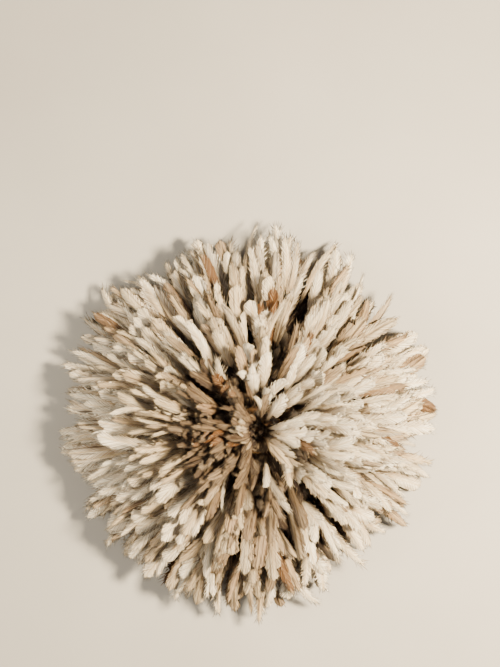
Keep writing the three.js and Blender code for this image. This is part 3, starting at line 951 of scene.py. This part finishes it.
# The plait under the cap's edge, on which the headdress rests.
def addBinding():
    middle = (bindingHigh.x + capHigh.x - binding["tuck"]) / 2
    height = (bindingLow.z + bindingHigh.z) / 2
    thick = binding["thickness"]
    swing = ((bindingHigh.x - middle) - thick / 2, (bindingHigh.z - bindingLow.z) / 2 - thick / 2)
    strands = cordsMesh("strands", ringPaths(
        middle, height, binding["strands"], swing, binding["plaits"], binding["steps"], plait=True), thick)
    core = cordsMesh("core", ringPaths(middle, height, 1, (0, 0), 0, 120), thick * binding["core"])
    mesh = joinMeshes("plaited_binding", [strands, core])
    addPiece("plaited_binding", mesh, raffiaMaterial, "raffia", "mouth_binding")


# Ribs and twine

rib = {
    "bevel": 0.0008,
    "foot": 0.006,  # of its length, beside the cap, that stays as it is; past it the sway grows over "grow"
    "grow": 0.02,
    "taper": 0.22,
    "sway": 0.0007,  # sideways, and the share of it that goes up and down; waves in radians to the metre
    "rise": 0.25,
    "swayWaves": 60,
    "riseWaves": 85,
    "cuts": 9,
}


# Each split rib is its plain solid with knife-worn edges and a slight wander along its length.
def addRibs():
    draw = random.Random(77)
    for i in range(ribTotal):
        name = f"rib_{i + 1:02d}"
        turn = i * 2 * math.pi / ribTotal
        bm = bmesh.new()
        bm.from_mesh(nodes[name].data)
        bmesh.ops.remove_doubles(bm, verts=bm.verts[:], dist=1e-6)
        bmesh.ops.dissolve_limit(bm, angle_limit=0.01, verts=bm.verts[:], edges=bm.edges[:])
        bmesh.ops.rotate(bm, verts=bm.verts[:], cent=(0, 0, 0), matrix=Matrix.Rotation(-turn, 3, "Z"))
        bmesh.ops.bevel(bm, geom=bm.edges[:], offset=rib["bevel"], segments=2, profile=0.5,
                        affect="EDGES", material=-1)
        for cut in range(1, rib["cuts"]):
            x = ribLow.x + rib["foot"] + (ribHigh.x - ribLow.x - rib["foot"]) * cut / rib["cuts"]
            bmesh.ops.bisect_plane(bm, geom=bm.verts[:] + bm.edges[:] + bm.faces[:],
                                   plane_co=(x, 0, 0), plane_no=(1, 0, 0))
        phase, second = draw.uniform(0, 6.28), draw.uniform(0, 6.28)
        for v in bm.verts:
            out = max(0.0, v.co.x - ribLow.x - rib["foot"])
            grow = min(1.0, out / rib["grow"])
            narrow = 1 - rib["taper"] * out / (ribHigh.x - ribLow.x)
            v.co.y = v.co.y * narrow + math.sin(out * rib["swayWaves"] + phase) * rib["sway"] * grow
            v.co.z += math.sin(out * rib["riseWaves"] + second) * rib["sway"] * rib["rise"] * grow
        bmesh.ops.rotate(bm, verts=bm.verts[:], cent=(0, 0, 0), matrix=Matrix.Rotation(turn, 3, "Z"))
        mesh = meshFrom(bm, "split_" + name)
        addPiece("split_" + name, mesh, splitPalmMaterial(turn), "rib", name)


twine = {"ply": 0.0016, "pitch": 0.0085, "apart": 0.46}  # the plies' middles lie this share of one ply out


# The radius and height of a twine ring's middle.
def ringOf(node):
    low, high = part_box(node)
    return high.x - (high.z - low.z) / 2, (low.z + high.z) / 2


def twistedRing(name, node, radius, height, ply):
    turns = round(2 * math.pi * radius / twine["pitch"])
    paths = ringPaths(radius, height, 2, (ply * twine["apart"], ply * twine["apart"]), turns, turns * 8)
    mesh = cordsMesh(name, paths, ply, sides=1)
    return addPiece(name, mesh, twineMaterial, "twine", *([node] if node else []))


def addTwine():
    for name, node in (("twisted_lashing", "rib_lashing"), ("twisted_ring_inner", "twine_ring_inner"),
                       ("twisted_ring_outer", "twine_ring_outer")):
        twistedRing(name, node, *ringOf(node), twine["ply"])
    for index, row in enumerate(rows):
        seat = seatOf(row)
        twistedRing(f"row_binding_{index + 1:02d}", None, seat.x, seat.y + twine["ply"], twine["ply"])


knot = {"thickness": 0.0013, "points": 14, "halfWidth": 0.0032, "slant": 0.45, "squareness": (1.35, 1.3)}


# Turns of thin cord that tie each rib to the twine rings.
def addKnots():
    thick = knot["thickness"]
    paths = []
    for node in ("twine_ring_inner", "twine_ring_outer"):
        radius = ringOf(node)[0]
        seatShare = (radius - ribLow.x) / (ribHigh.x - ribLow.x)
        top = ribTopAt(seatShare) + thick / 2
        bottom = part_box(node)[0].z - thick / 2
        half = knot["halfWidth"] + thick / 2
        for i in range(ribTotal):
            turn = i * 2 * math.pi / ribTotal
            for lean in (-1, 1):
                around = np.arange(knot["points"]) / knot["points"] * 2 * math.pi
                sideways = np.clip(np.cos(around) * knot["squareness"][0], -1, 1) * half
                upward = np.clip(np.sin(around) * knot["squareness"][1], -1, 1) * (top - bottom) / 2
                upward = (top + bottom) / 2 + upward
                outward = radius + lean * sideways * knot["slant"]
                paths.append(np.stack((
                    outward * math.cos(turn) - sideways * math.sin(turn),
                    outward * math.sin(turn) + sideways * math.cos(turn), upward), 1))
    mesh = cordsMesh("rib_knots", paths, thick, sides=1)
    addPiece("rib_knots", mesh, twineMaterial, "twine")


addCap()
addBinding()
addRibs()
addTwine()
addKnots()
print("cap, ribs and twine done")

# The stage

stage = {
    "pixel": 0.001667,  # metres of the headdress to a pixel of the photograph
    "imageSize": (500, 667),
    "axisPixel": (258, 428),  # where the headdress's axis shows
    "cameraHeight": 2.6,
    "middleHeight": 0.04,  # the height at which the pixel size holds
    "sensor": 36.0,
    "floor": 9.0,
    "aimHeight": 0.08,
    "air": "#DCDCDC",
    "airStrength": 0.16,
}
# Name, place, side, watts and colour.
softboxes = [
    ("keySoftbox", (1.14, 0.1, 1.42), 0.34, 222, "#FFEAC4"),
    ("fillSoftbox", (-1.7, 0.1, 1.3), 1.2, 64, "#F6E8CE"),
    ("ceilingSoftbox", (0.0, 0.0, 3.4), 2.5, 10, "#F6F3EE"),
]


def addStage():
    bpy.ops.mesh.primitive_plane_add(size=stage["floor"])
    floor = bpy.context.object
    floor.name = "studio_floor"
    floor.data.materials.append(plasterFloorMaterial())

    wide, high = stage["imageSize"]
    axisX, axisY = stage["axisPixel"]
    cameraData = bpy.data.cameras.new("cameraAbove")
    camera = bpy.data.objects.new("cameraAbove", cameraData)
    bpy.context.scene.collection.objects.link(camera)
    camera.location = ((wide / 2 - axisX) * stage["pixel"], (axisY - high / 2) * stage["pixel"],
                       stage["cameraHeight"])
    cameraData.sensor_width = stage["sensor"]
    away = stage["cameraHeight"] - stage["middleHeight"]
    cameraData.lens = stage["sensor"] * away / (high * stage["pixel"])
    bpy.context.scene.camera = camera

    for name, place, side, watts, colour in softboxes:
        lamp = bpy.data.lights.new(name, "AREA")
        lamp.shape = "RECTANGLE"
        lamp.size = lamp.size_y = side
        lamp.energy = watts
        lamp.color = linear(colour)[:3]
        holder = bpy.data.objects.new(name, lamp)
        bpy.context.scene.collection.objects.link(holder)
        holder.location = place
        aim = Vector((0.0, 0.0, stage["aimHeight"])) - Vector(place)
        holder.rotation_euler = aim.to_track_quat("-Z", "Y").to_euler()

    world = bpy.data.worlds.new("studioAir")
    world.use_nodes = True
    setInputs(world.node_tree.nodes["Background"], {"Color": stage["air"], "Strength": stage["airStrength"]})
    bpy.context.scene.world = world


addStage()
print("stage done")
